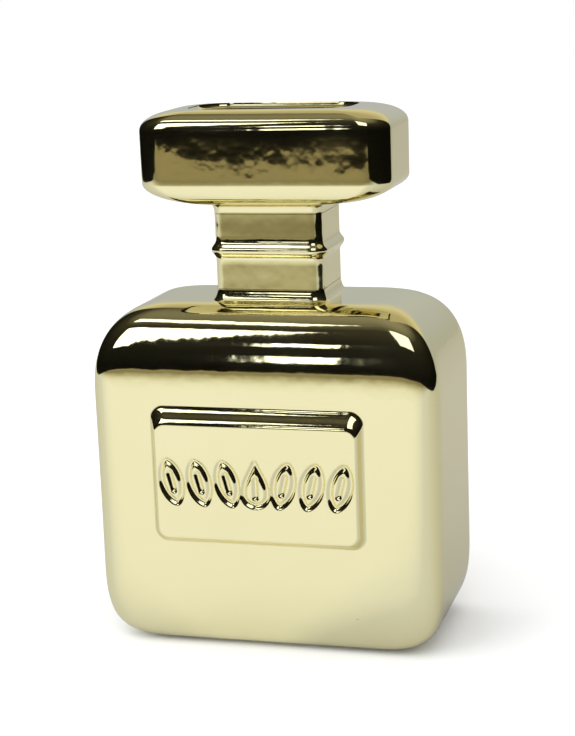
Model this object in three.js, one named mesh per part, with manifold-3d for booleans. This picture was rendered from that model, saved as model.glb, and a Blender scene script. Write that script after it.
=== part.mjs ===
// A ceramic vase in the shape of a perfume bottle, in millimetres, with +Z up.
// It stands on z = 0 on four felt pads, centred on the Z axis, with its label facing -Y.
// Three hollow slip castings are stacked: the bottle body, the neck with its bead, and the
// stopper-shaped head, which is open on top. Each end of the neck has a spigot that drops into
// a rebate in its neighbour. A pressed clay plaque with an engraved garland is laid on the front.
import * as THREE from "three";
import { mergeVertices } from "three/addons/utils/BufferGeometryUtils.js";
import Module from "manifold-3d";

const wasm = await Module();
wasm.setup();

// ---------------------------------------------------------------- driving dimensions

const TOTAL_HEIGHT = 200;
const WALL = 4;
const JOINT_GAP = 0.3; // the film of slip between two castings
const PAD = { radius: 6, thickness: 1.2, x: 32, y: 16 };

const BODY = {
  width: 131.4,
  depth: 68,
  top: 129.7,
  corner: { x: 16, y: 13, exponent: 4 }, // seen from above: soft, and tightest half way round
  base: { insetX: 25, insetY: 10.3, height: 31.5, exponent: 3.35 },
  shoulder: { insetX: 28.2, insetY: 19, heightX: 34, heightY: 30, exponent: 2.47 },
  crestCorner: { x: 10, y: 8, exponent: 2 },
};
const RECESS = { halfX: 26, halfY: 9, corner: 5, depth: 1.5 }; // hollow in the body's underside
const NECK = { width: 41.2, depth: 31.6, corner: 4, wall: 3.6, fillet: { out: 2.5, height: 4.5 } };
const BEAD = { z: 148.5, out: 1.7, halfHeight: 3.5 };
const SPIGOT = { length: 4, inset: 1.8 };
const HEAD = {
  width: 95,
  depth: 47,
  bottom: 165.5,
  corner: 10.5,
  fillet: { out: 1.8, height: 3.5 },
  under: { height: 8, exponent: 2.05, frontExponent: 1.7 },
  crown: { height: 7.6, exponent: 2.2 },
};
const MOUTH = { width: 58, depth: 25, corner: 8, lip: 2 };
const PLAQUE = {
  width: 81,
  height: 52,
  x: -1.5, // laid by hand, a little left of the middle
  z: 67.7,
  corner: 5,
  out: 3,
  sideBevel: 2.8,
  topBevel: 6.8,
};
const GROOVE = { radius: 1.1, rise: 0.1 }; // the engraver's ball, and how far its centre stands off the face
const GARLAND = {
  z: 65.9, // middle of the row, above the bench
  pitch: 10.7,
  leavesPerSide: 3,
  leaf: { length: 16, width: 7.4, leanDegrees: 14 },
  drop: { height: 16, width: 9 },
  vein: 6.5, // the short line down the middle of each leaf and of the drop
};

const CORNER_STEPS = 8;
const ROUNDING_STEPS = 10;
const INNER_STEPS = 5;
const FILLET_STEPS = 4;
const BEAD_STEPS = 10;
const BEVEL_STEPS = 4;
const STROKE_STEPS = 12;

const plated = new THREE.MeshStandardMaterial({ color: 0xd9cc94, roughness: 0.06, metalness: 1 });
const platedPlaque = new THREE.MeshStandardMaterial({ color: 0xdccf98, roughness: 0.08, metalness: 1 });
const felt = new THREE.MeshStandardMaterial({ color: 0x24211e, roughness: 1, metalness: 0 });

// ---------------------------------------------------------------- sections and lofts

// One level of a casting: a rounded rectangle at height z. Its corners are quarters of a
// superellipse; a plain number for the corner makes them quarter circles.
function section(halfX, halfY, corner, z) {
  const shape = typeof corner === "number" ? { x: corner, y: corner, exponent: 2 } : corner;
  return { halfX, halfY, corner: shape, z };
}

// A section made smaller by inset on every side.
function insetSection(s, inset, z = s.z) {
  const { x, y, exponent } = s.corner;
  const corner = { x: Math.max(x - inset, 0.5), y: Math.max(y - inset, 0.5), exponent };
  return section(s.halfX - inset, s.halfY - inset, corner, z);
}

// A section part of the way between two others. The height can run ahead of the width.
function blendSections(from, to, share, rise = share) {
  const blend = (a, b) => THREE.MathUtils.lerp(a, b, share);
  const corner = {
    x: blend(from.corner.x, to.corner.x),
    y: blend(from.corner.y, to.corner.y),
    exponent: blend(from.corner.exponent, to.corner.exponent),
  };
  return section(
    blend(from.halfX, to.halfX),
    blend(from.halfY, to.halfY),
    corner,
    THREE.MathUtils.lerp(from.z, to.z, rise),
  );
}

// The length of a vector (a, b) when the unit circle is a superellipse.
const superLength = (a, b, exponent) => (Math.abs(a) ** exponent + Math.abs(b) ** exponent) ** (1 / exponent);

// The points of a section, anticlockwise seen from above.
function outline({ halfX, halfY, corner, z }) {
  const quarters = [[1, 1], [-1, 1], [-1, -1], [1, -1]];
  return quarters.flatMap(([sx, sy], quarter) =>
    Array.from({ length: CORNER_STEPS + 1 }, (_, i) => {
      const angle = (quarter + i / CORNER_STEPS) * (Math.PI / 2);
      const reach = 1 / superLength(Math.cos(angle), Math.sin(angle), corner.exponent);
      return new THREE.Vector3(
        sx * (halfX - corner.x) + corner.x * reach * Math.cos(angle),
        sy * (halfY - corner.y) + corner.y * reach * Math.sin(angle),
        z,
      );
    }),
  );
}

// Skins a list of rings of points. A tube joins its last ring to its first; otherwise both ends
// are closed by a flat fan.
function loft(rings, { tube = false } = {}) {
  const count = rings[0].length;
  const points = rings.flat();
  const faces = [];
  const bands = tube ? rings.length : rings.length - 1;
  for (let band = 0; band < bands; band++) {
    const low = band * count;
    const high = ((band + 1) % rings.length) * count;
    for (let i = 0; i < count; i++) {
      const next = (i + 1) % count;
      faces.push(low + i, low + next, high + next, low + i, high + next, high + i);
    }
  }
  if (!tube) {
    const last = (rings.length - 1) * count;
    const middle = (ring) => ring.reduce((sum, p) => sum.add(p), new THREE.Vector3()).divideScalar(count);
    points.push(middle(rings[0]), middle(rings.at(-1)));
    for (let i = 0; i < count; i++) {
      const next = (i + 1) % count;
      faces.push(points.length - 2, next, i, points.length - 1, last + i, last + next);
    }
  }
  const geometry = new THREE.BufferGeometry().setFromPoints(points);
  geometry.setIndex(faces);
  return geometry;
}

// ---------------------------------------------------------------- roundings

// How far along a superelliptic quarter turn has gone when it has moved in by this share.
const superellipse = (inset, exponent) => (1 - (1 - inset) ** exponent) ** (1 / exponent);

// Sections that round a wall over to a level face, in equal steps of angle. The front and back can
// have an exponent of their own.
function roundOver(from, to, steps, exponent, frontExponent = exponent) {
  return Array.from({ length: steps + 1 }, (_, i) => {
    const inset = 1 - Math.abs(Math.cos((i / steps) * (Math.PI / 2))) ** (2 / exponent);
    const rise = superellipse(inset, exponent);
    const sides = blendSections(from, to, inset, rise);
    const front = blendSections(from, to, 1 - superellipse(1 - rise, frontExponent));
    return section(sides.halfX, front.halfY, sides.corner, sides.z);
  });
}

// The steps of a hollow quarter turn from a level face up to an upright wall: how far each stands
// off the wall and how far it has risen, both as shares of the radius.
const filletShares = Array.from({ length: FILLET_STEPS + 1 }, (_, i) => {
  const angle = (i / FILLET_STEPS) * (Math.PI / 2);
  return { off: 1 - Math.sin(angle), rise: 1 - Math.cos(angle) };
});

// ---------------------------------------------------------------- bottle body

const neckWall = (z) => section(NECK.width / 2, NECK.depth / 2, NECK.corner, z);
const lowerJoint = BODY.top + NECK.fillet.height;
const upperJoint = HEAD.bottom - HEAD.fillet.height;

const flank = section(BODY.width / 2, BODY.depth / 2, BODY.corner, PAD.thickness + BODY.base.height);
const foot = section(
  flank.halfX - BODY.base.insetX,
  flank.halfY - BODY.base.insetY,
  flank.corner,
  PAD.thickness,
);
const shoulderStart = { ...flank, z: BODY.top - BODY.shoulder.heightX };
const shoulderCrest = section(
  flank.halfX - BODY.shoulder.insetX,
  flank.halfY - BODY.shoulder.insetY,
  BODY.crestCorner,
  BODY.top,
);

// Whether a point lies inside a section's outline, seen from above.
function isInside({ halfX, halfY, corner }, { x, y }) {
  const pastX = Math.max(Math.abs(x) - (halfX - corner.x), 0) / corner.x;
  const pastY = Math.max(Math.abs(y) - (halfY - corner.y), 0) / corner.y;
  return superLength(pastX, pastY, corner.exponent) < 1;
}

// The outline of the shoulder at a height. It starts to round over at the sides first and at the
// front and back a little higher up.
function shoulderAt(z) {
  const { heightX, heightY, exponent } = BODY.shoulder;
  const inset = (height) =>
    1 - superellipse(THREE.MathUtils.clamp((BODY.top - z) / height, 0, 1), exponent);
  const sides = blendSections(shoulderStart, shoulderCrest, inset(heightX));
  const front = blendSections(shoulderStart, shoulderCrest, inset(heightY));
  return section(sides.halfX, front.halfY, front.corner, z);
}

// The height of the crowned shoulder above a point on the plan, by halving the interval in which
// the shoulder's outline passes through it.
function shoulderHeight(point) {
  let low = shoulderStart.z;
  let high = BODY.top;
  for (let i = 0; i < 24; i++) {
    const z = (low + high) / 2;
    if (isInside(shoulderAt(z), point)) {
      low = z;
    } else {
      high = z;
    }
  }
  return low;
}

// The rebate that takes a spigot: from the joint face to the ledge that the spigot stops short of.
function rebate(jointZ, direction) {
  const ledgeZ = jointZ + direction * (SPIGOT.length + JOINT_GAP);
  const rim = SPIGOT.inset - JOINT_GAP;
  return [
    neckWall(jointZ),
    insetSection(neckWall(jointZ), rim),
    insetSection(neckWall(ledgeZ), rim),
    insetSection(neckWall(ledgeZ), NECK.wall),
  ].map(outline);
}

// The top of the shoulder, from the last level ring to the neck: the ground is crowned, and a
// fillet rises from it to the joint.
function shoulderToNeck(lastLevel) {
  const neckFoot = insetSection(neckWall(0), -NECK.fillet.out);
  const ground = [0.17, 0.34, 0.51, 0.68, 0.85].map((share) =>
    outline(blendSections(lastLevel, neckFoot, share)).map((p) => p.setZ(shoulderHeight(p))));
  const footPoints = outline(neckFoot);
  const fillet = filletShares.map(({ off, rise }) =>
    outline(insetSection(neckWall(0), -NECK.fillet.out * off)).map((p, i) =>
      p.setZ(THREE.MathUtils.lerp(shoulderHeight(footPoints[i]), lowerJoint, rise))));
  return [...ground, ...fillet];
}

function bottleBody() {
  const { base, shoulder } = BODY;
  const recessFloor = PAD.thickness + RECESS.depth;
  const recess = section(RECESS.halfX, RECESS.halfY, RECESS.corner, recessFloor);
  const levelUntil = 0.885; // the rings are level up to here; higher up the neck stands in their way
  const levelRise = Array.from({ length: ROUNDING_STEPS - 1 }, (_, i) => {
    const angle = (i / (ROUNDING_STEPS - 2)) * Math.asin(levelUntil ** (shoulder.exponent / 2));
    return shoulderStart.z + shoulder.heightX * Math.sin(angle) ** (2 / shoulder.exponent);
  });
  const rise = levelRise.map(shoulderAt);
  const outside = [
    recess,
    insetSection(recess, -RECESS.depth, PAD.thickness),
    ...roundOver(flank, foot, ROUNDING_STEPS, base.exponent).reverse(),
    ...rise,
  ].map(outline);
  const innerTop = insetSection(neckWall(BODY.top - WALL), NECK.wall);
  const innerFoot = insetSection(foot, WALL, recessFloor + WALL);
  const inside = [
    ...roundOver(insetSection(shoulderStart, WALL), innerTop, INNER_STEPS + 2, shoulder.exponent).reverse(),
    ...roundOver(insetSection(flank, WALL), innerFoot, INNER_STEPS, base.exponent),
  ].map(outline);
  return loft([...outside, ...shoulderToNeck(rise.at(-1)), ...rebate(lowerJoint, -1).slice(1), ...inside]);
}

// ---------------------------------------------------------------- neck and head

function neckCollar() {
  const low = lowerJoint + JOINT_GAP;
  const high = upperJoint - JOINT_GAP;
  const bead = Array.from({ length: BEAD_STEPS + 1 }, (_, i) => {
    const share = (2 * i) / BEAD_STEPS - 1;
    const out = (BEAD.out / 2) * (1 + Math.cos(Math.PI * share));
    return insetSection(neckWall(BEAD.z + share * BEAD.halfHeight), -out);
  });
  return loft([
    neckWall(low),
    ...bead,
    neckWall(high),
    insetSection(neckWall(high), SPIGOT.inset),
    insetSection(neckWall(high + SPIGOT.length), SPIGOT.inset),
    insetSection(neckWall(high + SPIGOT.length), NECK.wall),
    insetSection(neckWall(low - SPIGOT.length), NECK.wall),
    insetSection(neckWall(low - SPIGOT.length), SPIGOT.inset),
    insetSection(neckWall(low), SPIGOT.inset),
  ].map(outline), { tube: true });
}

function stopperHead() {
  const { under, crown } = HEAD;
  const side = (z) => section(HEAD.width / 2, HEAD.depth / 2, HEAD.corner, z);
  const mouth = (grow, z) => insetSection(section(MOUTH.width / 2, MOUTH.depth / 2, MOUTH.corner, z), -grow);
  const fillet = filletShares.map(({ off, rise }) =>
    insetSection(neckWall(HEAD.bottom - HEAD.fillet.height * rise), -HEAD.fillet.out * off)).reverse();
  const lip = roundOver(mouth(MOUTH.lip, TOTAL_HEIGHT), mouth(0, TOTAL_HEIGHT - MOUTH.lip), 4, 2);
  const outside = [
    ...fillet,
    ...roundOver(
      side(HEAD.bottom + under.height), fillet.at(-1), ROUNDING_STEPS, under.exponent, under.frontExponent,
    ).reverse().slice(1),
    ...roundOver(side(TOTAL_HEIGHT - crown.height), lip[0], ROUNDING_STEPS, crown.exponent),
    ...lip.slice(1),
  ].map(outline);
  const inner = (z) => insetSection(side(z), WALL);
  const ceiling = mouth(0, TOTAL_HEIGHT - WALL);
  const floor = insetSection(neckWall(HEAD.bottom + WALL), NECK.wall);
  const inside = [
    ...roundOver(inner(ceiling.z - crown.height), ceiling, INNER_STEPS, crown.exponent).reverse(),
    ...roundOver(inner(HEAD.bottom + under.height + WALL / 2), floor, INNER_STEPS, under.exponent),
  ].map(outline);
  return loft([...outside, ...inside, ...rebate(upperJoint, 1).reverse().slice(0, -1)], { tube: true });
}

// ---------------------------------------------------------------- label plaque

function toSolid(geometry) {
  const bare = geometry.clone();
  bare.deleteAttribute("normal");
  bare.deleteAttribute("uv");
  const welded = mergeVertices(bare, 1e-4);
  return new wasm.Manifold(new wasm.Mesh({
    numProp: 3,
    vertProperties: new Float32Array(welded.attributes.position.array),
    triVerts: new Uint32Array(welded.index.array),
  }));
}

function toGeometry(solid) {
  const mesh = solid.getMesh();
  const geometry = new THREE.BufferGeometry();
  geometry.setAttribute("position", new THREE.BufferAttribute(mesh.vertProperties, mesh.numProp));
  geometry.setIndex(new THREE.BufferAttribute(mesh.triVerts, 1));
  return geometry;
}

// Lines on the plaque's face, as points around the middle of each figure.
const turns = Array.from({ length: STROKE_STEPS + 1 }, (_, i) => (i / STROKE_STEPS) * 2 * Math.PI);

function leafOutline(lean) {
  const { length, width } = GARLAND.leaf;
  const pointed = (angle) => Math.sign(Math.sin(angle)) * Math.abs(Math.sin(angle)) ** 1.4;
  return turns.map((angle) =>
    new THREE.Vector2((width / 2) * pointed(angle), (length / 2) * Math.cos(angle))
      .rotateAround(new THREE.Vector2(), lean));
}

function dropOutline() {
  const { height, width } = GARLAND.drop;
  return turns.map((angle) =>
    new THREE.Vector2(
      (width / 1.4) * Math.sin(angle) * Math.sin(angle / 2) ** 1.5,
      (height / 2) * Math.cos(angle),
    ));
}

const veinLine = (lean) => [-1, 1].map((end) =>
  new THREE.Vector2(0, (end * GARLAND.vein) / 2).rotateAround(new THREE.Vector2(), lean));

// A drop in the middle with a row of leaves leaning away from it on each side.
function garland() {
  const dropVein = veinLine(0).map((p) => p.setY(p.y - GARLAND.vein / 4));
  const strokes = [dropOutline(), dropVein];
  for (const side of [-1, 1]) {
    for (let leaf = 1; leaf <= GARLAND.leavesPerSide; leaf++) {
      const middle = new THREE.Vector2(side * leaf * GARLAND.pitch, 0);
      const lean = -side * THREE.MathUtils.degToRad(GARLAND.leaf.leanDegrees);
      for (const line of [leafOutline(lean), veinLine(lean)]) {
        strokes.push(line.map((p) => p.add(middle)));
      }
    }
  }
  return strokes;
}

// The round-nosed groove that a ball cutter leaves from one point to the next.
function grooveSegment(from, to) {
  const run = to.clone().sub(from);
  const capsule = new THREE.CapsuleGeometry(GROOVE.radius, run.length(), 2, 8);
  capsule.rotateZ(run.angle() - Math.PI / 2);
  capsule.translate((from.x + to.x) / 2, (from.y + to.y) / 2, PLAQUE.out + GROOVE.rise);
  return toSolid(capsule);
}

// The plaque lies face up here: x to the right, y up the bottle and z out of its front. Its edge
// is a soft bevel, wider along the top.
function labelPlaque() {
  const { width, height, corner, out, sideBevel, topBevel } = PLAQUE;
  const levels = Array.from({ length: BEVEL_STEPS + 1 }, (_, i) => {
    const share = i / BEVEL_STEPS;
    const side = sideBevel * share;
    const top = topBevel * share;
    const z = (out / 2) * (1 - Math.cos(Math.PI * share));
    const level = section(width / 2 - side, (height - side - top) / 2, corner - side / 2, z);
    return outline(level).map((p) => p.setY(p.y + (side - top) / 2));
  });
  const cutters = garland().flatMap((stroke) =>
    stroke.slice(1).map((point, i) => grooveSegment(stroke[i], point)));
  const engraving = wasm.Manifold.union(cutters).translate([0, GARLAND.z - PLAQUE.z, 0]);
  return toGeometry(toSolid(loft(levels)).subtract(engraving));
}

// ---------------------------------------------------------------- assembly

const vase = new THREE.Group();

function add(name, geometry, material) {
  const mesh = new THREE.Mesh(geometry, material);
  mesh.name = name;
  vase.add(mesh);
  return mesh;
}

add("bottle_body", bottleBody(), plated);
add("neck_collar", neckCollar(), plated);
add("stopper_head", stopperHead(), plated);

const plaque = add("label_plaque", labelPlaque(), platedPlaque);
plaque.rotation.x = Math.PI / 2;
plaque.position.set(PLAQUE.x, -(BODY.depth / 2 + JOINT_GAP), PLAQUE.z);

for (const [depthName, sideY] of [["front", -1], ["back", 1]]) {
  for (const [widthName, sideX] of [["left", -1], ["right", 1]]) {
    const pad = add(
      `felt_pad_${depthName}_${widthName}`,
      new THREE.CylinderGeometry(PAD.radius, PAD.radius, PAD.thickness - JOINT_GAP, 32),
      felt,
    );
    pad.rotation.x = Math.PI / 2;
    pad.position.set(sideX * PAD.x, sideY * PAD.y, (PAD.thickness - JOINT_GAP) / 2);
  }
}

// The plaque stands out of the front only, so the whole is moved back until its depth is centred.
for (const piece of vase.children) {
  piece.position.y += (PLAQUE.out + JOINT_GAP) / 2;
}

export default vase;
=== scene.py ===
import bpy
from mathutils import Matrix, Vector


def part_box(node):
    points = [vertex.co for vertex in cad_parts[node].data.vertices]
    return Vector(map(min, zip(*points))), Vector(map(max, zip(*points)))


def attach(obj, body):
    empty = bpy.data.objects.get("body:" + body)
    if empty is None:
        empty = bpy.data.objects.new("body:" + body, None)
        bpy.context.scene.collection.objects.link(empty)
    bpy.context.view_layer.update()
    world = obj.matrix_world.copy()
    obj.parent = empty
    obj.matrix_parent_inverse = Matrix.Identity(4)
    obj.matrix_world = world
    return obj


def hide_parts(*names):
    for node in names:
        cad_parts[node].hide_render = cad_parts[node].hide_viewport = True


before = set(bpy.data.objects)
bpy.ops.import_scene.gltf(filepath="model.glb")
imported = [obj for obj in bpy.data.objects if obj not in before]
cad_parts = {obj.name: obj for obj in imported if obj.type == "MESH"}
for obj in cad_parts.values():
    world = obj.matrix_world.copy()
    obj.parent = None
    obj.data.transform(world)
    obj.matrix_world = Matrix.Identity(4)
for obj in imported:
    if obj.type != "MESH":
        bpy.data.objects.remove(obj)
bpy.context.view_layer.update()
print("CAD nodes:", ", ".join(sorted(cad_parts)))

# %% Tools for the rest of the lesson
import math

import bpy
import numpy as np
from mathutils import Matrix, Vector

MM = 0.001
body_low, body_high = (np.array(corner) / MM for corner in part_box("bottle_body"))
BODY_WIDTH, BODY_DEPTH = (body_high - body_low)[:2]
MIDDLE_Y = (body_low[1] + body_high[1]) / 2
TOTAL_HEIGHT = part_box("stopper_head")[1].z / MM
print(f"body {BODY_WIDTH:.1f} x {BODY_DEPTH:.1f} mm, vase {TOTAL_HEIGHT:.1f} mm tall")

# %% [markdown]
# ## Drawing a casting as level sections
# Every casting here is a rounded rectangle at every height, and only its width, depth and corners
# change as it rises. That makes lofting the natural way to build it: draw the rounded rectangle at
# many heights and join each ring of points to the next with four-sided faces. A cube with a bevel
# modifier could give one corner radius, but not shoulders that turn over slowly one way and
# quickly the other. A section is kept as six numbers, so two sections can be blended by plain
# arithmetic: half its width and depth, how far a corner reaches along each side, how square the
# corner is (2 is a quarter circle, more is squarer), and the height.
# %% Sections and rings
CORNER_STEPS, LONG_STEPS, SHORT_STEPS = 16, 24, 12


def section(half_x, half_y, corner, z):
    corner_x, corner_y, square = (corner, corner, 2) if np.isscalar(corner) else corner
    return np.array([half_x, half_y, corner_x, corner_y, square, z], float)


def smaller(s, inset, z=None):
    """A section moved in by inset on every side."""
    corner = (max(s[2] - inset, 0.5), max(s[3] - inset, 0.5), s[4])
    return section(s[0] - inset, s[1] - inset, corner, s[5] if z is None else z)


def between(a, b, share, rise=None):
    """A section part of the way from a to b. The height can run ahead of the width."""
    rise = share if rise is None else rise
    return a + (b - a) * np.array([share] * 5 + [rise])


def super_length(x, y, square):
    """The length of a vector when the unit circle is a superellipse."""
    return (np.abs(x) ** square + np.abs(y) ** square) ** (1 / square)


def ring(s):
    """The points of a section, anticlockwise seen from above."""
    size, corner, square, z = s[:2], s[2:4], s[4], s[5]
    arcs = []
    for quarter, way in enumerate(((1, 1), (-1, 1), (-1, -1), (1, -1))):
        angle = (quarter + np.linspace(0, 1, CORNER_STEPS + 1)) * math.pi / 2
        turned = np.column_stack([np.cos(angle), np.sin(angle)])
        reach = 1 / super_length(*turned.T, square)
        arcs.append((size - corner) * way + corner * turned * reach[:, None])
    flat = []
    for quarter, arc in enumerate(arcs):
        steps = SHORT_STEPS if quarter % 2 else LONG_STEPS
        along = np.linspace(0, 1, steps + 1)[1:-1, None]
        flat += [arc, arc[-1] + (arcs[(quarter + 1) % 4][0] - arc[-1]) * along]
    flat = np.vstack(flat)
    return np.column_stack([flat, np.full(len(flat), z)])


print("points in a ring:", len(ring(section(20, 10, 3, 0))))

# %% [markdown]
# ## Soft roundings
# Cast ceramic has no straight bevels. Where a wall turns over into the shoulder, its curve starts
# very gently, is tightest half way and ends gently again, which is what a superellipse with an
# exponent near 3 does. A fillet, the hollow curve where two castings meet, is a plain quarter
# circle left by the finger that smoothed the slip.
# %% Roundings and fillets
def superellipse(inset, exponent):
    """How far along the curve has gone when it has moved in by this share."""
    return (1 - (1 - inset) ** exponent) ** (1 / exponent)


def round_over(a, b, steps, exponent, front_exponent=None):
    """Sections that round a wall over to a level face. The front can have its own exponent."""
    turn = np.linspace(0, math.pi / 2, steps + 1)
    sections = []
    for inset in 1 - np.abs(np.cos(turn)) ** (2 / exponent):
        rise = superellipse(inset, exponent)
        s = between(a, b, inset, rise)
        s[1] = between(a, b, 1 - superellipse(1 - rise, front_exponent or exponent))[1]
        sections.append(s)
    return sections


def straight(a, b, steps):
    """The sections strictly between a and b."""
    return [between(a, b, share) for share in np.linspace(0, 1, steps + 1)[1:-1]]


fillet_turn = np.linspace(0, math.pi / 2, 9)
FILLET = list(zip(1 - np.sin(fillet_turn), 1 - np.cos(fillet_turn)))  # off the wall, risen
print("a fillet has", len(FILLET), "rings")

# %% [markdown]
# ## Skinning the rings
# One helper joins the rings into a mesh. A hollow casting with a hole at each end is a tube that
# closes on itself: its skin runs up the outside, over the rim, down the inside and back. The
# bottle body has a floor, so its first and last rings are capped instead. Edges that turn by more
# than 50 degrees are marked sharp, and everything else is shaded smooth.
# %% Skinning
def skin(name, rings, tube=False):
    count = len(rings[0])
    points = np.vstack(rings)
    points[:, 1] += MIDDLE_Y
    here = np.arange(count)
    after = (here + 1) % count
    quads = []
    for band in range(len(rings) if tube else len(rings) - 1):
        low = band * count
        high = (band + 1) % len(rings) * count
        quads += np.column_stack([low + here, low + after, high + after, high + here]).tolist()
    if not tube:
        quads += [here[::-1].tolist(), ((len(rings) - 1) * count + here).tolist()]
    mesh = bpy.data.meshes.new(name)
    mesh.from_pydata((points * MM).tolist(), [], quads)
    mesh.shade_smooth()
    mesh.set_sharp_from_angle(angle=math.radians(50))
    piece = bpy.data.objects.new(name, mesh)
    bpy.context.scene.collection.objects.link(piece)
    return piece


# %% [markdown]
# ## Hand-made unevenness
# A plaster mould is never dead flat and the clay moves a little as it dries, so a mirror finish
# shows slow waves in whatever it reflects. A bump map could bend the reflections, but real waves
# also move the outline, so they go into the mesh: every point sinks along its normal by up to a
# fifth of a millimetre, following a few crossing waves 30 to 90 mm long.
# %% Slow waves
WAVES = [
    ((0.9, 0.2, 0.4), 88, 0.3), ((-0.3, 0.5, 0.8), 64, 1.9), ((0.7, -0.5, -0.6), 47, 4.1),
    ((0.2, 0.9, 0.5), 71, 2.6), ((0.8, 0.4, -0.9), 33, 5.2),
]
WAVE_DEPTH = 0.2


def sinking(points):
    """How many millimetres each point sinks below its ideal surface."""
    height = np.zeros(len(points))
    for direction, length, phase in WAVES:
        unit = np.array(direction) / np.linalg.norm(direction)
        height += np.sin(points @ unit * (2 * math.pi / length) + phase) * (length / 88)
    reach = sum(length / 88 for _, length, _ in WAVES)
    return WAVE_DEPTH * (1 + height / reach) / 2


def make_uneven(piece):
    mesh = piece.data
    places = np.zeros(len(mesh.vertices) * 3)
    mesh.vertices.foreach_get("co", places)
    places = places.reshape(-1, 3)
    normals = np.zeros(len(mesh.vertices) * 3)
    mesh.vertex_normals.foreach_get("vector", normals)
    sunk = sinking(places / MM)[:, None] * MM
    mesh.vertices.foreach_set("co", (places - normals.reshape(-1, 3) * sunk).ravel())
    mesh.update()
    return piece


probe = np.random.default_rng(3).uniform(-60, 60, (500, 3))
print(f"points sink by {sinking(probe).min():.2f} to {sinking(probe).max():.2f} mm")

# %% [markdown]
# ## The bottle body
# From below, the casting starts with a shallow recess, so that it stands on a rim and not on its
# middle. It rounds up into flat flanks and rounds over again at the shoulders, which take 28 mm to
# turn over at the sides. From front to back the shoulder never becomes level: it is crowned like
# the back of a spoon, and the neck grows out of that crown. So the rings are level only while
# they stay clear of the neck. After that they follow the crown.
# %% The body's main sections
WALL = 4
PAD_HEIGHT = 1.2
BODY_TOP = 129.7
CORNER, CREST_CORNER = (16, 13, 4), (10, 8, 2)
FOOT_IN_X, FOOT_IN_Y, FOOT_RISE = 25, 10.3, 31.5
CREST_IN_X, CREST_IN_Y = 28.2, 19
RISE_AT_SIDES, RISE_IN_FRONT = 34, 30
FOOT_CURVE, SHOULDER_CURVE = 3.35, 2.47

flank = section(BODY_WIDTH / 2, BODY_DEPTH / 2, CORNER, PAD_HEIGHT + FOOT_RISE)
foot = section(flank[0] - FOOT_IN_X, flank[1] - FOOT_IN_Y, CORNER, PAD_HEIGHT)
shoulder_start = section(flank[0], flank[1], CORNER, BODY_TOP - RISE_AT_SIDES)
shoulder_crest = section(flank[0] - CREST_IN_X, flank[1] - CREST_IN_Y, CREST_CORNER, BODY_TOP)

FILLET_OUT, FILLET_HEIGHT = 2.5, 4.5
LOWER_JOINT = BODY_TOP + FILLET_HEIGHT
NECK_WIDTH, NECK_DEPTH, NECK_CORNER, NECK_THICKNESS = 41.2, 31.6, 4, 3.6
neck_wall = section(NECK_WIDTH / 2, NECK_DEPTH / 2, NECK_CORNER, LOWER_JOINT)
print(f"flat flanks from {flank[5]:.0f} to {shoulder_start[5]:.0f} mm above the table")

# %% The crowned shoulder
def shoulder_at(z):
    """The shoulder's outline at each height. The sides start to round over lower than the front."""
    z = np.atleast_1d(z)
    sides, front = (
        1 - superellipse(np.clip((BODY_TOP - z) / rise, 0, 1), SHOULDER_CURVE)[:, None]
        for rise in (RISE_AT_SIDES, RISE_IN_FRONT))
    s = shoulder_start + (shoulder_crest - shoulder_start) * front
    s[:, 0] = (shoulder_start + (shoulder_crest - shoulder_start) * sides)[:, 0]
    s[:, 5] = z
    return s


def shoulder_height(points):
    """The crown's height over each point, found by halving an interval."""
    low = np.full(len(points), shoulder_start[5])
    high = np.full(len(points), shoulder_crest[5])
    for _ in range(30):
        middle = (low + high) / 2
        s = shoulder_at(middle)
        past = np.maximum(np.abs(points[:, :2]) - (s[:, :2] - s[:, 2:4]), 0) / s[:, 2:4]
        inside = super_length(*past.T, s[:, 4]) < 1
        low, high = np.where(inside, middle, low), np.where(inside, high, middle)
    return low


def shoulder_to_neck(last_level):
    neck_foot = smaller(neck_wall, -FILLET_OUT)
    rings = []
    for share in np.linspace(0, 1, 19)[1:-1]:
        ground = ring(between(last_level, neck_foot, share))
        ground[:, 2] = shoulder_height(ground)
        rings.append(ground)
    ground = shoulder_height(ring(neck_foot))
    for off, risen in FILLET:
        step = ring(smaller(neck_wall, -FILLET_OUT * off))
        step[:, 2] = ground + (LOWER_JOINT - ground) * risen
        rings.append(step)
    return rings


crest_drop = BODY_TOP - shoulder_height(ring(smaller(neck_wall, -FILLET_OUT))).min()
print(f"in front of the neck the crown has dropped by {crest_drop:.1f} mm")

# %% Skin the body
SPIGOT_LENGTH, SPIGOT_INSET, SLIP = 4, 1.8, 0.3


def rebate(joint_z, direction):
    """The step inside a casting's end that takes the neck's spigot."""
    ledge = joint_z + direction * (SPIGOT_LENGTH + SLIP)
    rim = SPIGOT_INSET - SLIP
    return [
        smaller(neck_wall, 0, joint_z),
        smaller(neck_wall, rim, joint_z),
        smaller(neck_wall, rim, ledge),
        smaller(neck_wall, NECK_THICKNESS, ledge),
    ]


RECESS_DEPTH = 1.5
LEVEL_UNTIL = 0.885  # the share of the shoulder's rise up to which its rings are level
recess = section(26, 9, 5, PAD_HEIGHT + RECESS_DEPTH)
last_angle = math.asin(LEVEL_UNTIL ** (SHOULDER_CURVE / 2))
level_rise = np.sin(np.linspace(0, last_angle, 30)) ** (2 / SHOULDER_CURVE)
rise = list(shoulder_at(shoulder_start[5] + RISE_AT_SIDES * level_rise))
inner_top = smaller(neck_wall, NECK_THICKNESS, BODY_TOP - WALL)
inner_foot = smaller(foot, WALL, recess[5] + WALL)
inner_flank, inner_start = smaller(flank, WALL), smaller(shoulder_start, WALL)
recess_edge = smaller(recess, -RECESS_DEPTH, PAD_HEIGHT)
outside = (
    [recess, recess_edge]
    + straight(recess_edge, foot, 5)
    + round_over(flank, foot, 28, FOOT_CURVE)[::-1]
    + straight(flank, shoulder_start, 16)
    + rise
)
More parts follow.
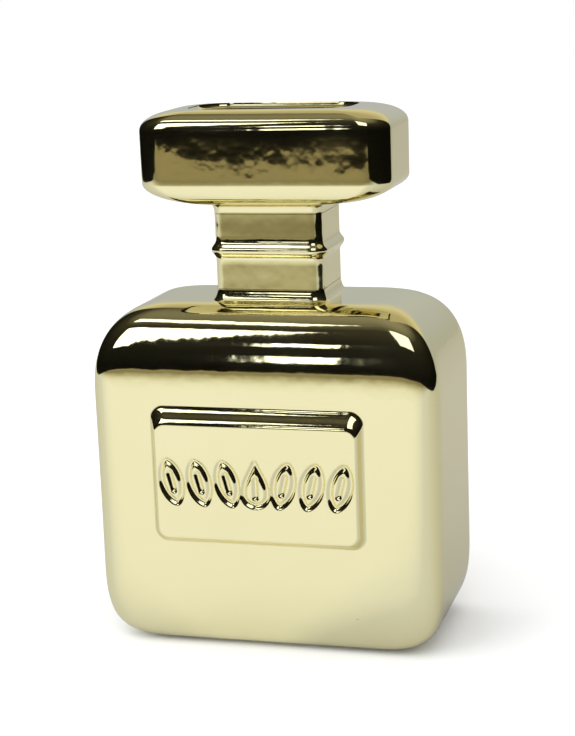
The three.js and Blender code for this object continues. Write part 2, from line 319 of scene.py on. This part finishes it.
inside = (
    round_over(inner_start, inner_top, 14, SHOULDER_CURVE)[::-1]
    + straight(inner_start, inner_flank, 6)
    + round_over(inner_flank, inner_foot, 10, FOOT_CURVE)
)
bottle_body = make_uneven(skin(
    "bottle_body_casting",
    [ring(s) for s in outside]
    + shoulder_to_neck(rise[-1])
    + [ring(s) for s in rebate(LOWER_JOINT, -1)[1:] + inside],
))
print("body mesh:", len(bottle_body.data.polygons), "faces")

# %% [markdown]
# ## The neck and its bead
# The neck is a short rectangular tube with one soft bead round it, a little above its middle. The
# bead is a single hump of a cosine wave, which leaves the wall and comes back to it without an
# edge. A spigot at each end drops into the neighbouring casting and isn't seen once the joint is
# smoothed, so the walls meet flush at the joints.
# %% Skin the neck
UPPER_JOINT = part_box("stopper_head")[0].z / MM
BEAD_Z, BEAD_OUT, BEAD_HALF = 148.5, 1.7, 3.5

bead = []
for share in np.linspace(-1, 1, 25):
    out = BEAD_OUT / 2 * (1 + math.cos(math.pi * share))
    bead.append(smaller(neck_wall, -out, BEAD_Z + share * BEAD_HALF))
neck_low, neck_high = smaller(neck_wall, 0, LOWER_JOINT), smaller(neck_wall, 0, UPPER_JOINT)
neck = make_uneven(skin("neck_casting", [ring(s) for s in (
    [neck_low]
    + straight(neck_low, bead[0], 5)
    + bead
    + straight(bead[-1], neck_high, 5)
    + [
        neck_high,
        smaller(neck_wall, SPIGOT_INSET, UPPER_JOINT),
        smaller(neck_wall, SPIGOT_INSET, UPPER_JOINT + SPIGOT_LENGTH),
        smaller(neck_wall, NECK_THICKNESS, UPPER_JOINT + SPIGOT_LENGTH),
        smaller(neck_wall, NECK_THICKNESS, LOWER_JOINT - SPIGOT_LENGTH),
        smaller(neck_wall, SPIGOT_INSET, LOWER_JOINT - SPIGOT_LENGTH),
        smaller(neck_wall, SPIGOT_INSET, LOWER_JOINT),
    ]
)], tube=True))
print("neck mesh:", len(neck.data.polygons), "faces")

# %% [markdown]
# ## The stopper-shaped head
# On a real perfume bottle this would be a glass stopper. Here it is the mouth of the vase: a
# hollow block, open on top. Its underside sweeps up from the neck, its sides are upright for about
# half its height, and its top rounds in to a soft lip that turns down into the mouth.
# %% Skin the head
HEAD_FILLET_OUT, HEAD_FILLET_HEIGHT = 1.8, 3.5
HEAD_BOTTOM = UPPER_JOINT + HEAD_FILLET_HEIGHT
HEAD_WIDTH, HEAD_DEPTH, HEAD_CORNER = 95, 47, 10.5
MOUTH_WIDTH, MOUTH_DEPTH, MOUTH_CORNER = 58, 25, 8
side = section(HEAD_WIDTH / 2, HEAD_DEPTH / 2, HEAD_CORNER, 0)
mouth = section(MOUTH_WIDTH / 2, MOUTH_DEPTH / 2, MOUTH_CORNER, 0)
LIP, UNDER_RISE, CROWN_RISE = 2, 8, 7.6
UNDER_CURVE, UNDER_FRONT_CURVE, CROWN_CURVE = 2.05, 1.7, 2.2

head_fillet = [
    smaller(neck_wall, -HEAD_FILLET_OUT * off, HEAD_BOTTOM - HEAD_FILLET_HEIGHT * risen)
    for off, risen in FILLET
][::-1]
under_end = smaller(side, 0, HEAD_BOTTOM + UNDER_RISE)
crown_start = smaller(side, 0, TOTAL_HEIGHT - CROWN_RISE)
lip = round_over(smaller(mouth, -LIP, TOTAL_HEIGHT), smaller(mouth, 0, TOTAL_HEIGHT - LIP), 8, 2)
inner_crown = smaller(side, WALL, TOTAL_HEIGHT - WALL - CROWN_RISE)
inner_under = smaller(side, WALL, HEAD_BOTTOM + UNDER_RISE + WALL / 2)
floor_edge = smaller(neck_wall, NECK_THICKNESS, HEAD_BOTTOM + WALL)
head_sections = (
    head_fillet
    + round_over(under_end, head_fillet[-1], 22, UNDER_CURVE, UNDER_FRONT_CURVE)[::-1][1:]
    + straight(under_end, crown_start, 8)
    + round_over(crown_start, lip[0], 22, CROWN_CURVE)
    + lip[1:]
    + round_over(inner_crown, smaller(mouth, 0, TOTAL_HEIGHT - WALL), 10, CROWN_CURVE)[::-1]
    + straight(inner_crown, inner_under, 3)
    + round_over(inner_under, floor_edge, 10, UNDER_CURVE)
    + rebate(UPPER_JOINT, 1)[::-1][:-1]
)
head = make_uneven(skin("stopper_head_casting", [ring(s) for s in head_sections], tube=True))
print("head mesh:", len(head.data.polygons), "faces")

# %% [markdown]
# ## The plaque
# A pressed clay tile lies on the front. Its edge is a soft bevel that flows out of the bottle's
# face, narrow at the sides and below and more than twice as wide along the top, where it catches
# the dark of the room. It is built as a height field: a fine grid of points on the front face,
# each pushed forward by the height of the tile there. The tile's corners are round, so each corner
# block of the grid is bent from a square into a quarter disc.
# %% The plaque's grid
plaque_low, plaque_high = (np.array(corner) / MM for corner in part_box("label_plaque"))
PLAQUE_X = (plaque_low[0] + plaque_high[0]) / 2
PLAQUE_Z = (plaque_low[2] + plaque_high[2]) / 2
HALF_WIDE = (plaque_high[0] - plaque_low[0]) / 2
HALF_TALL = (plaque_high[2] - plaque_low[2]) / 2
PLAQUE_CORNER = 5
GRID = 0.4


def graded(half):
    """Grid lines across the tile, with a line exactly where each corner block starts."""
    block = np.linspace(0, PLAQUE_CORNER, round(PLAQUE_CORNER / GRID) + 1)
    inner = half - PLAQUE_CORNER
    middle = np.linspace(-inner, inner, round(2 * inner / GRID) + 1)
    return np.concatenate([-half + block[:-1], middle, half - block[::-1][1:]])


across, up = np.meshgrid(graded(HALF_WIDE), graded(HALF_TALL))
in_x = np.maximum(np.abs(across) - (HALF_WIDE - PLAQUE_CORNER), 0) / PLAQUE_CORNER
in_z = np.maximum(np.abs(up) - (HALF_TALL - PLAQUE_CORNER), 0) / PLAQUE_CORNER
bent_x = in_x * np.sqrt(1 - in_z**2 / 2)
bent_z = in_z * np.sqrt(1 - in_x**2 / 2)
across = across + np.sign(across) * (bent_x - in_x) * PLAQUE_CORNER
up = up + np.sign(up) * (bent_z - in_z) * PLAQUE_CORNER
print("plaque grid:", across.shape)

# %% The bevelled edge
FACE_Y = body_low[1]
PLAQUE_OUT = FACE_Y - plaque_low[1]
SIDE_BEVEL, TOP_BEVEL = 2.8, 6.8


def soft_step(share):
    """0 to 1 along half a cosine wave."""
    return (1 - np.cos(math.pi * np.clip(share, 0, 1))) / 2


def corner_distance(x, z, side_inset, top_inset):
    """How far points are inside the tile's outline once it has been moved in."""
    half_x = HALF_WIDE - side_inset
    half_z = HALF_TALL - (side_inset + top_inset) / 2
    z = z - (side_inset - top_inset) / 2
    corner = np.maximum(PLAQUE_CORNER - side_inset / 2, 1)
    away_x = np.abs(x) - (half_x - corner)
    away_z = np.abs(z) - (half_z - corner)
    outside = np.hypot(np.maximum(away_x, 0), np.maximum(away_z, 0))
    return corner - outside - np.minimum(np.maximum(away_x, away_z), 0)


def bevel_share(x, z):
    """How far up the bevel each point is, by halving an interval."""
    low, high = np.zeros_like(x), np.ones_like(x)
    for _ in range(24):
        share = (low + high) / 2
        inside = corner_distance(x, z, SIDE_BEVEL * share, TOP_BEVEL * share) > 0
        low, high = np.where(inside, share, low), np.where(inside, high, share)
    return low


tile_height = PLAQUE_OUT * soft_step(bevel_share(across, up))
print(f"the tile stands {tile_height.max():.2f} mm proud")

# %% [markdown]
# ## The engraved garland
# A drop with three leaves on each side is engraved in the tile, and each of them has a short vein.
# The tool is a ball, so each line is a round-bottomed groove, and the glaze has softened its edges.
# For every grid point the distance to the nearest line of the drawing is measured, and the point
# sinks by a cosine of that distance. That gives grooves with smooth walls, and the lower wall of
# each one, which faces up, glints.
# %% Draw the garland
PITCH, LEAVES_PER_SIDE, LEAN = 10.7, 3, math.radians(14)
LEAF_TALL, LEAF_WIDE, DROP_TALL, DROP_WIDE, VEIN = 16, 7.4, 16, 9, 6.5
DROP_FULLNESS = 0.7  # the greatest value of the formula for the drop's width
GROOVE_DEPTH, GROOVE_HALF = 1.0, 1.6
turn = np.linspace(0, 2 * math.pi, 61)


def leaf_line(lean):
    x = LEAF_WIDE / 2 * np.sign(np.sin(turn)) * np.abs(np.sin(turn)) ** 1.4
    z = LEAF_TALL / 2 * np.cos(turn)
    return np.column_stack([x * math.cos(lean) - z * math.sin(lean),
                            x * math.sin(lean) + z * math.cos(lean)])


def vein_line(lean):
    return np.outer((-VEIN / 2, VEIN / 2), (-math.sin(lean), math.cos(lean)))


drop_line = np.column_stack([
    DROP_WIDE / 2 / DROP_FULLNESS * np.sin(turn) * np.abs(np.sin(turn / 2)) ** 1.5,
    DROP_TALL / 2 * np.cos(turn),
])
garland = [drop_line, vein_line(0) - (0, VEIN / 4)]
for way in (-1, 1):
    for place in range(1, LEAVES_PER_SIDE + 1):
        shift = (way * place * PITCH, 0)
        garland += [line(-way * LEAN) + shift for line in (leaf_line, vein_line)]
print("lines in the garland:", len(garland))

# %% Cut the grooves
def distance_to(line, x, z):
    """The distance from each grid point to a drawn line, one short stretch at a time."""
    nearest = np.full(x.shape, np.inf)
    for (ax, az), (bx, bz) in zip(line[:-1], line[1:]):
        run = max((bx - ax) ** 2 + (bz - az) ** 2, 1e-9)
        share = np.clip(((x - ax) * (bx - ax) + (z - az) * (bz - az)) / run, 0, 1)
        nearest = np.minimum(nearest, np.hypot(x - ax - share * (bx - ax), z - az - share * (bz - az)))
    return nearest


GARLAND_HEIGHT = 65.9  # its middle, above the table
up_from_garland = up - (GARLAND_HEIGHT - PLAQUE_Z)
nearest = np.minimum.reduce([distance_to(line, across, up_from_garland) for line in garland])
tile_height -= GROOVE_DEPTH * (1 - soft_step(nearest / GROOVE_HALF))

# %% Build the plaque
BACK = 0.6  # the tile's back edge is buried in the body's face
rows, columns = across.shape
wide, tall = across.ravel() + PLAQUE_X, up.ravel() + PLAQUE_Z
face = np.column_stack([wide, np.full(wide.size, FACE_Y), tall])
front = face + np.column_stack([
    np.zeros(wide.size), sinking(face) - tile_height.ravel(), np.zeros(wide.size)])
back = face + (0, BACK, 0)
grid = np.arange(rows * columns).reshape(rows, columns)
front_faces = np.stack([grid[:-1, :-1], grid[:-1, 1:], grid[1:, 1:], grid[1:, :-1]], -1).reshape(-1, 4)
edge = np.concatenate([grid[0, :-1], grid[:-1, -1], grid[-1, :0:-1], grid[:0:-1, 0]])
back_edge = rows * columns + np.arange(len(edge))
following = np.roll(np.arange(len(edge)), -1)
rim_faces = np.column_stack([edge[following], edge, back_edge, back_edge[following]])

plaque_mesh = bpy.data.meshes.new("label_plaque_tile")
plaque_mesh.from_pydata(
    (np.vstack([front, back[edge]]) * MM).tolist(), [],
    front_faces.tolist() + rim_faces.tolist() + [back_edge.tolist()],
)
plaque_mesh.shade_smooth()
plaque_mesh.set_sharp_from_angle(angle=math.radians(60))
plaque = bpy.data.objects.new("label_plaque_tile", plaque_mesh)
bpy.context.scene.collection.objects.link(plaque)
print("plaque mesh:", len(plaque_mesh.polygons), "faces")

# %% [markdown]
# ## The felt pads
# Four round felt pads keep the plating off the table. Felt is soft, so the pad's edge bulges a
# little under the vase's weight and its rim isn't a perfect circle. Each one is a stack of rings,
# like the castings, with its radius varied by a small wave.
# %% Make the pads
PAD_RADIUS, PAD_X, PAD_Y = 5.95, 32, 16


def felt_pad(name, x, y):
    angle = np.linspace(0, 2 * math.pi, 73)[:-1]
    ragged = 1 - 0.012 * (1 + np.sin(5 * angle + x) * np.cos(11 * angle + y))
    rings = []
    for inset, z in ((5, 0), (0.5, 0.0), (0.15, 0.12), (0, 0.45), (0.1, 0.9), (0.5, 1.25), (5, 1.3)):
        radius = (PAD_RADIUS - inset) * ragged
        rings.append(np.column_stack([
            x + radius * np.cos(angle), y + radius * np.sin(angle), np.full(angle.size, z)]))
    return skin(name, rings)


pads = {}
for depth_name, sy in (("front", -1), ("back", 1)):
    for width_name, sx in (("left", -1), ("right", 1)):
        node = f"felt_pad_{depth_name}_{width_name}"
        pads[node] = felt_pad(node.replace("felt_pad", "felt_disc"), sx * PAD_X, sy * PAD_Y)
print("pads:", ", ".join(pads))

# %% [markdown]
# ## The pale gold finish
# The plating is a metal film over glossy glaze, so the shader is a pure metal, nearly a mirror. Its
# colour is paler and greener than jewellery gold. What makes it look like plated ceramic is in
# the small things: the glaze under it has orange peel, ripples about 6 mm across and
# hundredths of a millimetre high; there are pinholes where a bubble broke; and the polish
# varies a little from place to place.
# %% Node helpers
def node_tree(material):
    material.use_nodes = True
    tree = material.node_tree
    shader = next(n for n in tree.nodes if n.type == "BSDF_PRINCIPLED")
    return tree, shader


def add_node(tree, kind, links=None, **settings):
    node = tree.nodes.new(kind)
    for name, value in settings.items():
        if hasattr(node, name) and name not in node.inputs:
            setattr(node, name, value)
    for socket, value in (links or {}).items():
        if isinstance(value, bpy.types.NodeSocket):
            tree.links.new(value, node.inputs[socket])
        else:
            node.inputs[socket].default_value = value
    return node


# %% Gold plating over glaze
gold = bpy.data.materials.new("pale_gold_plating")
tree, shader = node_tree(gold)
place = add_node(tree, "ShaderNodeTexCoord").outputs["Object"]

tone = add_node(tree, "ShaderNodeTexNoise", {"Vector": place, "Scale": 22.0, "Detail": 2.0})
colour = add_node(tree, "ShaderNodeMix", {"Factor": tone.outputs["Fac"]}, data_type="RGBA")
colour.inputs["A"].default_value = (0.83, 0.755, 0.44, 1)
colour.inputs["B"].default_value = (0.86, 0.80, 0.50, 1)

specks = add_node(tree, "ShaderNodeTexVoronoi", {"Vector": place, "Scale": 55.0, "Randomness": 1.0})
pinhole = add_node(tree, "ShaderNodeMapRange", {
    "Value": specks.outputs["Distance"], "From Min": 0.008, "From Max": 0.018,
    "To Min": 1.0, "To Max": 0.0})
rare = add_node(tree, "ShaderNodeMapRange", {
    "Value": add_node(tree, "ShaderNodeSeparateColor", {"Color": specks.outputs["Color"]}).outputs["Red"],
    "From Min": 0.86, "From Max": 0.88})
pits = add_node(tree, "ShaderNodeMath", {
    0: pinhole.outputs["Result"], 1: rare.outputs["Result"]}, operation="MULTIPLY")
pitted = add_node(tree, "ShaderNodeMix", {"Factor": pits.outputs[0]}, data_type="RGBA")
tree.links.new(colour.outputs["Result"], pitted.inputs["A"])
pitted.inputs["B"].default_value = (0.40, 0.34, 0.19, 1)
tree.links.new(pitted.outputs["Result"], shader.inputs["Base Color"])
shader.inputs["Metallic"].default_value = 1.0

haze = add_node(tree, "ShaderNodeTexNoise", {"Vector": place, "Scale": 40.0, "Detail": 5.0})
polish = add_node(tree, "ShaderNodeMapRange", {
    "Value": haze.outputs["Fac"], "From Min": 0.35, "From Max": 0.75,
    "To Min": 0.035, "To Max": 0.075})
tree.links.new(polish.outputs["Result"], shader.inputs["Roughness"])

peel = add_node(tree, "ShaderNodeTexNoise", {"Vector": place, "Scale": 150.0, "Detail": 1.5})
ripple = add_node(tree, "ShaderNodeBump", {
    "Height": peel.outputs["Fac"], "Strength": 1.0, "Distance": 0.00005})
dents = add_node(tree, "ShaderNodeBump", {
    "Height": pits.outputs[0], "Strength": 1.0, "Distance": 0.0002,
    "Normal": ripple.outputs["Normal"]}, invert=True)
tree.links.new(dents.outputs["Normal"], shader.inputs["Normal"])
print("gold nodes:", len(tree.nodes))

# %% [markdown]
# ## Felt
# Pressed felt has no weave, only tangled fibres. Fine stretched noise gives the fibres, a coarser
# noise gives darker and lighter patches, and a little sheen gives the fuzz that shows edge on.
# %% Felt
felt = bpy.data.materials.new("dark_felt")
tree, shader = node_tree(felt)
place = add_node(tree, "ShaderNodeTexCoord").outputs["Object"]
fibre = add_node(tree, "ShaderNodeTexNoise", {"Vector": place, "Scale": 3500.0, "Detail": 4.0})
patch = add_node(tree, "ShaderNodeTexNoise", {"Vector": place, "Scale": 500.0, "Detail": 2.0})
mottle = add_node(tree, "ShaderNodeMath", {
    0: fibre.outputs["Fac"], 1: patch.outputs["Fac"]}, operation="MULTIPLY")
felt_tone = add_node(tree, "ShaderNodeMix", {"Factor": mottle.outputs[0]}, data_type="RGBA")
felt_tone.inputs["A"].default_value = (0.012, 0.011, 0.010, 1)
felt_tone.inputs["B"].default_value = (0.10, 0.09, 0.08, 1)
tree.links.new(felt_tone.outputs["Result"], shader.inputs["Base Color"])
shader.inputs["Roughness"].default_value = 1.0
shader.inputs["Sheen Weight"].default_value = 0.4
fuzz = add_node(tree, "ShaderNodeBump", {
    "Height": fibre.outputs["Fac"], "Strength": 0.8, "Distance": 0.0001})
tree.links.new(fuzz.outputs["Normal"], shader.inputs["Normal"])

# %% [markdown]
# ## Fastening the pieces to the frame
# The vase has no moving parts, so every piece rides on the one body, root. Each piece also hides
# the CAD node it stands for and takes its finish.
# %% Ride, replace and finish
for piece, node in (
    (bottle_body, "bottle_body"), (neck, "neck_collar"),
    (head, "stopper_head"), (plaque, "label_plaque"),
):
    piece.data.materials.append(gold)
    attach(piece, "root")
    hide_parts(node)
for node, pad in pads.items():
    pad.data.materials.append(felt)
    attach(pad, "root")
    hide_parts(node)

# %% [markdown]
# ## The table
# A mirror finish has no look of its own: it shows the room. The vase stands on a white table that
# ends 1.6 m in front of it. The table's colour carries painted shade that only the mirror sees: from
# about 0.4 m in front of the vase it falls into painted warm shade, and painted shade makes it
# duller to the right of the vase and behind it. Seen directly it is plain white, so the light path
# decides which of the two tones a ray gets.
# %% Table
def math_node(tree, operation, a, b=0.0):
    return add_node(tree, "ShaderNodeMath", {0: a, 1: b}, operation=operation).outputs[0]


def ramp(tree, value, stops):
    """A colour ramp from (position, colour) pairs."""
    node = add_node(tree, "ShaderNodeValToRGB", {"Fac": value})
    elements = node.color_ramp.elements
    while len(elements) < len(stops):
        elements.new(0.5)
    for element, (position, colour) in zip(elements, stops):
        element.position = position
        element.color = (*colour, 1)
    return node.outputs["Color"]


def mix_node(tree, factor, a, b, blend="MIX"):
    node = add_node(tree, "ShaderNodeMix", {"Factor": factor}, data_type="RGBA", blend_type=blend)
    for socket, value in (("A", a), ("B", b)):
        if isinstance(value, bpy.types.NodeSocket):
            tree.links.new(value, node.inputs[socket])
        else:
            node.inputs[socket].default_value = (*value, 1)
    return node.outputs["Result"]


TABLE_FRONT, TABLE_BACK, TABLE_LEFT, TABLE_RIGHT = 1.6, 3.0, 1.1, 0.75

white = bpy.data.materials.new("white_table")
tree, shader = node_tree(white)
place = add_node(tree, "ShaderNodeTexCoord").outputs["Object"]
grain = add_node(tree, "ShaderNodeTexNoise", {"Vector": place, "Scale": 30.0, "Detail": 3.0})
plain_white = mix_node(tree, grain.outputs["Fac"], (0.89, 0.89, 0.89), (0.91, 0.91, 0.91))
flat = add_node(tree, "ShaderNodeSeparateXYZ", {"Vector": place})
from_edge = math_node(tree, "ADD", flat.outputs["Y"], TABLE_FRONT)
from_edge = math_node(tree, "DIVIDE", from_edge, TABLE_FRONT)
# painted warm shade: seen in the mirror, the table darkens from about 0.4 m in front of the vase towards
# its front edge
shade = ramp(tree, from_edge, [
    (0.12, (0.26, 0.21, 0.09)), (0.30, (0.20, 0.17, 0.08)), (0.38, (0.24, 0.21, 0.11)),
    (0.45, (0.35, 0.32, 0.20)), (0.53, (0.46, 0.43, 0.31)), (0.59, (0.61, 0.59, 0.49)),
    (0.66, (0.77, 0.77, 0.73)), (0.73, (0.865, 0.87, 0.90))])
# painted shade: seen in the mirror, the table is darker behind the vase and to its right than in front and
# to its left
heading = add_node(tree, "ShaderNodeVectorMath", {0: place}, operation="NORMALIZE").outputs[0]
facing = add_node(tree, "ShaderNodeVectorMath", {
    0: heading, 1: (-0.26, -0.97, 0)}, operation="DOT_PRODUCT").outputs["Value"]
frontness = math_node(tree, "ADD", math_node(tree, "MULTIPLY", facing, 0.5), 0.5)
side_shade = ramp(tree, frontness, [
    (0.0, (0.55, 0.54, 0.49)), (0.5, (0.62, 0.62, 0.59)), (0.85, (0.68, 0.70, 0.72)),
    (0.97, (0.88, 0.89, 0.88))])
mirrored = mix_node(tree, 1.0, shade, side_shade, "MULTIPLY")
mirrored = mix_node(tree, 1.0, mirrored, plain_white, "MULTIPLY")
glossy = add_node(tree, "ShaderNodeLightPath").outputs["Is Glossy Ray"]
tree.links.new(mix_node(tree, glossy, plain_white, mirrored), shader.inputs["Base Color"])
shader.inputs["Roughness"].default_value = 0.85
shader.inputs["Specular IOR Level"].default_value = 0.2

table_mesh = bpy.data.meshes.new("table_top")
table_mesh.from_pydata([
    (-TABLE_LEFT, -TABLE_FRONT, 0), (TABLE_RIGHT, -TABLE_FRONT, 0),
    (TABLE_RIGHT, TABLE_BACK, 0), (-TABLE_LEFT, TABLE_BACK, 0)], [], [(0, 1, 2, 3)])
table_mesh.materials.append(white)
table = bpy.data.objects.new("table_top", table_mesh)
bpy.context.scene.collection.objects.link(table)
print(f"table {TABLE_LEFT + TABLE_RIGHT:.2f} m wide, {TABLE_FRONT + TABLE_BACK:.1f} m deep")

# %% [markdown]
# ## The room
# The room shows only in the vase. In front it is nearly black up to half way to the ceiling, and
# behind the vase hangs a pale backdrop, cool low down and warmer higher up. Rays that light the
# table get a white dome instead, brightest in front and to the left, which puts the soft contact
# shadow behind the vase and to its right. The camera itself sees plain white.
# %% Room
world = bpy.data.worlds.new("room")
bpy.context.scene.world = world
world.use_nodes = True
tree = world.node_tree
background = next(n for n in tree.nodes if n.type == "BACKGROUND")
seen = add_node(tree, "ShaderNodeLightPath")
compass = add_node(tree, "ShaderNodeTexCoord").outputs["Generated"]
direction = add_node(tree, "ShaderNodeSeparateXYZ", {"Vector": compass})
sideways = math_node(tree, "MULTIPLY", math_node(tree, "ABSOLUTE", direction.outputs["X"]), 1.25)
behind = add_node(tree, "ShaderNodeMapRange", {
    "Value": math_node(tree, "SUBTRACT", direction.outputs["Y"], sideways),
    "From Min": 0.02, "From Max": 0.10}).outputs["Result"]
ceiling = ramp(tree, direction.outputs["Z"], [
    (0.0, (0.004, 0.004, 0.003)), (0.5, (0.015, 0.014, 0.010)), (0.78, (0.04, 0.036, 0.024)),
    (0.87, (0.13, 0.12, 0.08)), (1.0, (0.30, 0.28, 0.20))])
backdrop = ramp(tree, direction.outputs["Z"], [
    (0.0, (0.48, 0.49, 0.46)), (0.27, (0.53, 0.56, 0.61)), (0.46, (0.76, 0.70, 0.46)),
    (0.80, (0.50, 0.45, 0.28))])
room = mix_node(tree, behind, ceiling, backdrop)
front_left = add_node(tree, "ShaderNodeVectorMath", {
    0: compass, 1: (-0.45, -0.89, 0)}, operation="DOT_PRODUCT").outputs["Value"]
daylight = add_node(tree, "ShaderNodeMapRange", {
    "Value": front_left, "From Min": -1.0, "From Max": 1.0, "To Min": 0.3, "To Max": 2.2}).outputs["Result"]
lighting = mix_node(tree, seen.outputs["Is Glossy Ray"], daylight, room)
result = mix_node(tree, seen.outputs["Is Camera Ray"], lighting, (1.0, 1.0, 1.0))
tree.links.new(result, background.inputs["Color"])


# %% [markdown]
# ## Lamps and windows
# A large softbox overhead adds a little light to the table. It is hidden from the mirror, so it
# leaves no band on the shoulder. The windows are the opposite: small rectangles in the dark part
# of the room, each given by the compass direction, elevation and angular size at which the vase
# sees it. They add hardly any light, only the bright streaks on the shoulder and the head.
# %% Lamps and windows
def lamp(name, place, aim, width, height, watts, colour=(1, 1, 1)):
    light = bpy.data.lights.new(name, "AREA")
    light.shape = "RECTANGLE"
    light.size, light.size_y = width, height
    light.energy, light.color = watts, colour
    thing = bpy.data.objects.new(name, light)
    bpy.context.scene.collection.objects.link(thing)
    thing.location = place
    thing.rotation_euler = (Vector(aim) - Vector(place)).to_track_quat("-Z", "Y").to_euler()
    return thing


WINDOW_REACH = 2.5  # metres from the vase


def window(name, azimuths, elevations, brightness, colour=(0.94, 0.98, 1.0)):
    """A rectangle in the dark room. Azimuth 0 is straight in front and grows towards +X."""
    azimuth, elevation = (math.radians(sum(pair) / 2) for pair in (azimuths, elevations))
    turned, tall = (math.radians(pair[1] - pair[0]) for pair in (azimuths, elevations))
    width = 2 * WINDOW_REACH * math.cos(elevation) * math.tan(turned / 2)
    height = 2 * WINDOW_REACH * math.tan(tall / 2)
    middle = Vector((0, 0, TOTAL_HEIGHT * MM / 2))
    place = middle + WINDOW_REACH * Vector((
        math.sin(azimuth) * math.cos(elevation),
        -math.cos(azimuth) * math.cos(elevation),
        math.sin(elevation)))
    return lamp(name, place, middle, width, height, brightness * math.pi * width * height, colour)


softbox = lamp("overhead_softbox", (-0.2, 0.1, 1.5), (0, 0, 0), 1.4, 1.2, 2)
softbox.visible_glossy = False
window("window_upper_left", (-42, -22), (18, 46), 2.2)
window("window_high_left", (-64, -28), (57.5, 63), 2.0)
window("strip_upper", (-18, -14.5), (21.5, 25.5), 3.0)
window("strip_lower", (-16.8, -13.3), (4.5, 10.5), 3.0)
window("window_upper_right", (-6, 34), (34, 60), 1.6)

# %% [markdown]
# ## The camera
# The vase is seen from a little to the right of its front and from slightly above, with the
# camera tipped by two degrees, as when it is held by hand.
# %% Camera
AZIMUTH, ELEVATION, ROLL = math.radians(16.15), math.radians(12.52), math.radians(-2.08)
DISTANCE = 0.7034
TARGET = Vector((0.00173, MIDDLE_Y * MM, 0.10124))
LENS_LENGTH = 90.98

outward = Vector((
    math.sin(AZIMUTH) * math.cos(ELEVATION),
    -math.cos(AZIMUTH) * math.cos(ELEVATION),
    math.sin(ELEVATION),
))
right = Vector((math.cos(AZIMUTH), math.sin(AZIMUTH), 0))
upward = outward.cross(right)
tipped_right = right * math.cos(ROLL) + upward * math.sin(ROLL)
tipped_up = upward * math.cos(ROLL) - right * math.sin(ROLL)
lens = bpy.data.cameras.new("camera")
lens.lens = LENS_LENGTH
lens.sensor_width = 36
lens.clip_start = 0.01
camera = bpy.data.objects.new("camera", lens)
bpy.context.scene.collection.objects.link(camera)
camera.matrix_world = Matrix.Translation(TARGET + outward * DISTANCE) @ Matrix(
    (tipped_right, tipped_up, outward)).transposed().to_4x4()
bpy.context.scene.camera = camera
bpy.context.scene.view_settings.view_transform = "Standard"
print("camera at", [round(c, 3) for c in camera.location])
